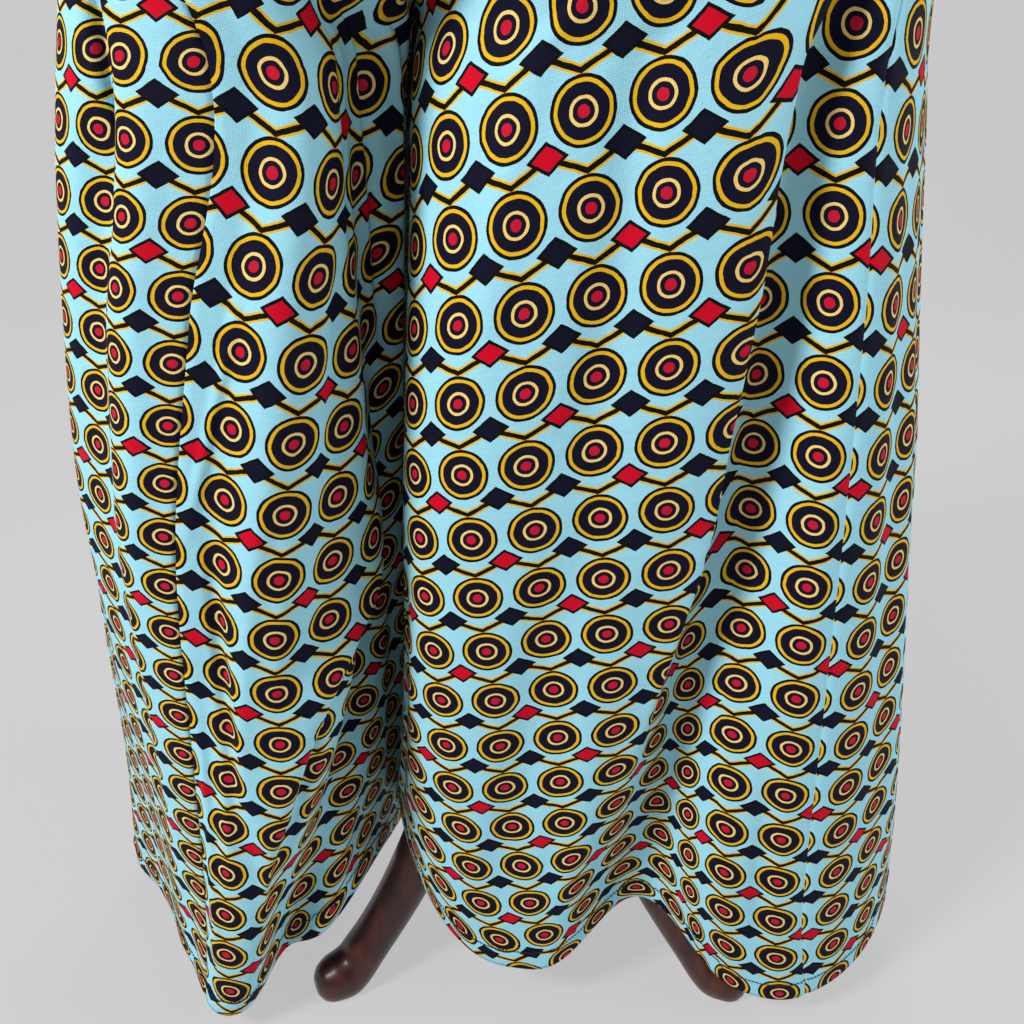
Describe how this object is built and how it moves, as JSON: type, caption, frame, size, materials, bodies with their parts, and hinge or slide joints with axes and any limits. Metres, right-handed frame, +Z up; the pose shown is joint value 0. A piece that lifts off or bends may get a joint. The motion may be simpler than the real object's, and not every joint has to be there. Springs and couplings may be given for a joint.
{
  "type": "wide leg jumpsuit on a limbless dress form with a tripod stand",
  "caption": "Wide leg jumpsuit with gathered elastic waist and plain sleeveless V neck bodice, standing on a limbless dress form with a pole and a curved wooden tripod.",
  "frame": {"origin": "middle of the part's footprint box on the floor the stand rests on", "axes": "+Z up, -Y to the garment's front, so the wearer's right side is towards -X"},
  "size_m": [0.7256, 0.379, 1.492],
  "materials": {
    "printed_cotton": "plain woven cotton with a wax print in light blue, navy, yellow and red, faint sheen",
    "form_cover": "matt close-fitting cotton jersey",
    "dark_wood": "polished dark mahogany, glossy"
  },
  "bodies": {
    "root": {"right_front_leg": "printed_cotton", "right_back_leg": "printed_cotton", "left_front_leg": "printed_cotton", "left_back_leg": "printed_cotton", "waist_casing": "printed_cotton", "bodice_front": "printed_cotton", "bodice_back": "printed_cotton", "form_torso": "form_cover", "stand_pole": "dark_wood", "stand_hub": "dark_wood", "stand_leg_right": "dark_wood", "stand_leg_left": "dark_wood", "stand_leg_back": "dark_wood"}
  },
  "joints": []
}
